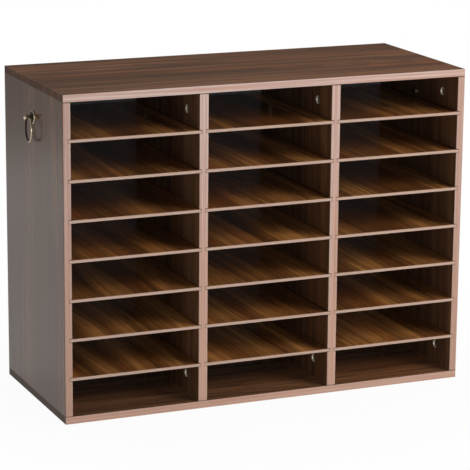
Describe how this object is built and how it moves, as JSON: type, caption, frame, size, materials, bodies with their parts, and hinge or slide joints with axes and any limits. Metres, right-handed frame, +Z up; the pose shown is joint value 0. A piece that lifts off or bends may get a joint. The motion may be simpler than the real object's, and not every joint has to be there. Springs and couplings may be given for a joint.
{
  "type": "pigeonhole mail sorter",
  "caption": "Open-front desktop mail sorter of walnut laminate: a boxed carcass with dividers, loose thin shelves in grooves, pale front edges and a swinging ring pull on each side.",
  "frame": {"origin": "middle of the footprint, on the surface that the sorter stands on", "axes": "+X from left to right seen from the front, +Y from the open front to the back, +Z up"},
  "size_m": [0.744, 0.3, 0.539],
  "materials": {
    "carcass_walnut": "satin walnut laminate",
    "shelf_walnut": "satin walnut laminate",
    "back_board": "dark hardboard",
    "edge_band": "pale edge band",
    "zinc": "zinc plated",
    "antique_brass": "antique brass"
  },
  "bodies": {
    "carcass": {"top_panel": "carcass_walnut", "bottom_panel": "carcass_walnut", "left_side": "carcass_walnut", "divider_1": "carcass_walnut", "divider_2": "carcass_walnut", "right_side": "carcass_walnut", "top_panel_edge_band": "edge_band", "bottom_panel_edge_band": "edge_band", "left_side_edge_band": "edge_band", "divider_1_edge_band": "edge_band", "divider_2_edge_band": "edge_band", "right_side_edge_band": "edge_band", "back_panel": "back_board", "cam_lock_left_side_front_bottom": "zinc", "cam_lock_left_side_front_top": "zinc", "cam_lock_left_side_rear_bottom": "zinc", "cam_lock_left_side_rear_top": "zinc", "cam_lock_divider_1_front_bottom": "zinc", "cam_lock_divider_1_front_top": "zinc", "cam_lock_divider_1_rear_bottom": "zinc", "cam_lock_divider_1_rear_top": "zinc", "cam_lock_divider_2_front_bottom": "zinc", "cam_lock_divider_2_front_top": "zinc", "cam_lock_divider_2_rear_bottom": "zinc", "cam_lock_divider_2_rear_top": "zinc", "cam_lock_right_side_front_bottom": "zinc", "cam_lock_right_side_front_top": "zinc", "cam_lock_right_side_rear_bottom": "zinc", "cam_lock_right_side_rear_top": "zinc", "left_ring_post": "antique_brass", "left_ring_rosette": "antique_brass", "left_ring_nut": "zinc", "right_ring_post": "antique_brass", "right_ring_rosette": "antique_brass", "right_ring_nut": "zinc"},
    "shelf_column1_level1": {"shelf_column1_level1": "shelf_walnut"},
    "shelf_column1_level2": {"shelf_column1_level2": "shelf_walnut"},
    "shelf_column1_level3": {"shelf_column1_level3": "shelf_walnut"},
    "shelf_column1_level4": {"shelf_column1_level4": "shelf_walnut"},
    "shelf_column1_level5": {"shelf_column1_level5": "shelf_walnut"},
    "shelf_column1_level6": {"shelf_column1_level6": "shelf_walnut"},
    "shelf_column1_level7": {"shelf_column1_level7": "shelf_walnut"},
    "shelf_column2_level1": {"shelf_column2_level1": "shelf_walnut"},
    "shelf_column2_level2": {"shelf_column2_level2": "shelf_walnut"},
    "shelf_column2_level3": {"shelf_column2_level3": "shelf_walnut"},
    "shelf_column2_level4": {"shelf_column2_level4": "shelf_walnut"},
    "shelf_column2_level5": {"shelf_column2_level5": "shelf_walnut"},
    "shelf_column2_level6": {"shelf_column2_level6": "shelf_walnut"},
    "shelf_column2_level7": {"shelf_column2_level7": "shelf_walnut"},
    "shelf_column3_level1": {"shelf_column3_level1": "shelf_walnut"},
    "shelf_column3_level2": {"shelf_column3_level2": "shelf_walnut"},
    "shelf_column3_level3": {"shelf_column3_level3": "shelf_walnut"},
    "shelf_column3_level4": {"shelf_column3_level4": "shelf_walnut"},
    "shelf_column3_level5": {"shelf_column3_level5": "shelf_walnut"},
    "shelf_column3_level6": {"shelf_column3_level6": "shelf_walnut"},
    "shelf_column3_level7": {"shelf_column3_level7": "shelf_walnut"},
    "left_ring": {"left_ring": "antique_brass"},
    "right_ring": {"right_ring": "antique_brass"}
  },
  "joints": [
    {"name": "shelf_column1_level1_slide", "type": "slide", "parent": "carcass", "child": "shelf_column1_level1", "axis": [0, -1, 0], "range_m": [0, 0.28]},
    {"name": "shelf_column1_level2_slide", "type": "slide", "parent": "carcass", "child": "shelf_column1_level2", "axis": [0, -1, 0], "range_m": [0, 0.28]},
    {"name": "shelf_column1_level3_slide", "type": "slide", "parent": "carcass", "child": "shelf_column1_level3", "axis": [0, -1, 0], "range_m": [0, 0.28]},
    {"name": "shelf_column1_level4_slide", "type": "slide", "parent": "carcass", "child": "shelf_column1_level4", "axis": [0, -1, 0], "range_m": [0, 0.28]},
    {"name": "shelf_column1_level5_slide", "type": "slide", "parent": "carcass", "child": "shelf_column1_level5", "axis": [0, -1, 0], "range_m": [0, 0.28]},
    {"name": "shelf_column1_level6_slide", "type": "slide", "parent": "carcass", "child": "shelf_column1_level6", "axis": [0, -1, 0], "range_m": [0, 0.28]},
    {"name": "shelf_column1_level7_slide", "type": "slide", "parent": "carcass", "child": "shelf_column1_level7", "axis": [0, -1, 0], "range_m": [0, 0.28]},
    {"name": "shelf_column2_level1_slide", "type": "slide", "parent": "carcass", "child": "shelf_column2_level1", "axis": [0, -1, 0], "range_m": [0, 0.28]},
    {"name": "shelf_column2_level2_slide", "type": "slide", "parent": "carcass", "child": "shelf_column2_level2", "axis": [0, -1, 0], "range_m": [0, 0.28]},
    {"name": "shelf_column2_level3_slide", "type": "slide", "parent": "carcass", "child": "shelf_column2_level3", "axis": [0, -1, 0], "range_m": [0, 0.28]},
    {"name": "shelf_column2_level4_slide", "type": "slide", "parent": "carcass", "child": "shelf_column2_level4", "axis": [0, -1, 0], "range_m": [0, 0.28]},
    {"name": "shelf_column2_level5_slide", "type": "slide", "parent": "carcass", "child": "shelf_column2_level5", "axis": [0, -1, 0], "range_m": [0, 0.28]},
    {"name": "shelf_column2_level6_slide", "type": "slide", "parent": "carcass", "child": "shelf_column2_level6", "axis": [0, -1, 0], "range_m": [0, 0.28]},
    {"name": "shelf_column2_level7_slide", "type": "slide", "parent": "carcass", "child": "shelf_column2_level7", "axis": [0, -1, 0], "range_m": [0, 0.28]},
    {"name": "shelf_column3_level1_slide", "type": "slide", "parent": "carcass", "child": "shelf_column3_level1", "axis": [0, -1, 0], "range_m": [0, 0.28]},
    {"name": "shelf_column3_level2_slide", "type": "slide", "parent": "carcass", "child": "shelf_column3_level2", "axis": [0, -1, 0], "range_m": [0, 0.28]},
    {"name": "shelf_column3_level3_slide", "type": "slide", "parent": "carcass", "child": "shelf_column3_level3", "axis": [0, -1, 0], "range_m": [0, 0.28]},
    {"name": "shelf_column3_level4_slide", "type": "slide", "parent": "carcass", "child": "shelf_column3_level4", "axis": [0, -1, 0], "range_m": [0, 0.28]},
    {"name": "shelf_column3_level5_slide", "type": "slide", "parent": "carcass", "child": "shelf_column3_level5", "axis": [0, -1, 0], "range_m": [0, 0.28]},
    {"name": "shelf_column3_level6_slide", "type": "slide", "parent": "carcass", "child": "shelf_column3_level6", "axis": [0, -1, 0], "range_m": [0, 0.28]},
    {"name": "shelf_column3_level7_slide", "type": "slide", "parent": "carcass", "child": "shelf_column3_level7", "axis": [0, -1, 0], "range_m": [0, 0.28]},
    {"name": "left_ring_swing", "type": "hinge", "parent": "carcass", "child": "left_ring", "pos_m": [-0.36323, 0, 0.478], "axis": [0, 1, 0], "range_deg": [-8, 188]},
    {"name": "right_ring_swing", "type": "hinge", "parent": "carcass", "child": "right_ring", "pos_m": [0.36323, 0, 0.478], "axis": [0, -1, 0], "range_deg": [-8, 188]}
  ]
}
